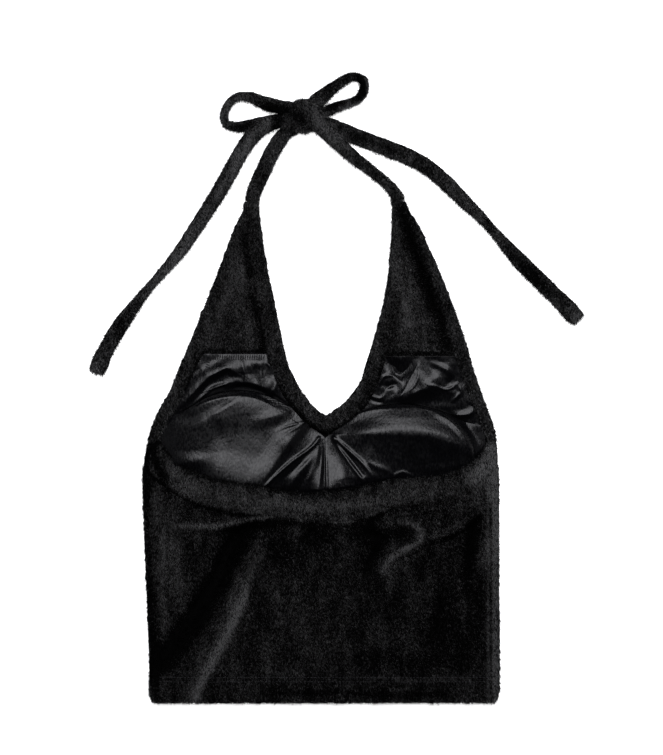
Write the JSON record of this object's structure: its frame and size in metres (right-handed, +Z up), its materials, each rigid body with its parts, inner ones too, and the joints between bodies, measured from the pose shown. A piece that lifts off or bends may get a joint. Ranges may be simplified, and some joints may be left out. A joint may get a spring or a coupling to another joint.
{
  "type": "halter neck top",
  "caption": "Cropped halter top of black plush with padded satin-lined cups, an open back and a tied bow, laid flat back side up.",
  "frame": {"origin": "on the surface that the top lies on, under the middle of the whole part's box", "axes": "+Z up off the surface, out of the back; +Y from the hem to the bow; +X to the right as seen from above"},
  "size_m": [0.4954, 0.6322, 0.0297],
  "materials": {
    "plush": "short dense pile with a soft sheen",
    "plush_binding": "short dense pile, folded double",
    "satin": "glossy satin weave",
    "foam": "moulded foam faced with knit cloth"
  },
  "bodies": {
    "root": {"front_panel": "plush", "wing_facing_left": "plush", "wing_facing_right": "plush", "back_panel": "plush", "armhole_band_left": "plush_binding", "armhole_band_right": "plush_binding", "neckline_band": "plush_binding", "back_band": "plush_binding", "strap_left": "plush_binding", "strap_right": "plush_binding", "bow_knot": "plush_binding", "bow_loop_left": "plush_binding", "bow_loop_right": "plush_binding", "tie_tail_left": "plush_binding", "tie_tail_right": "plush_binding", "upper_lining_left": "satin", "upper_lining_right": "satin", "cup_lining_left": "satin", "cup_lining_right": "satin", "bust_cup_left": "foam", "bust_cup_right": "foam"}
  },
  "joints": []
}
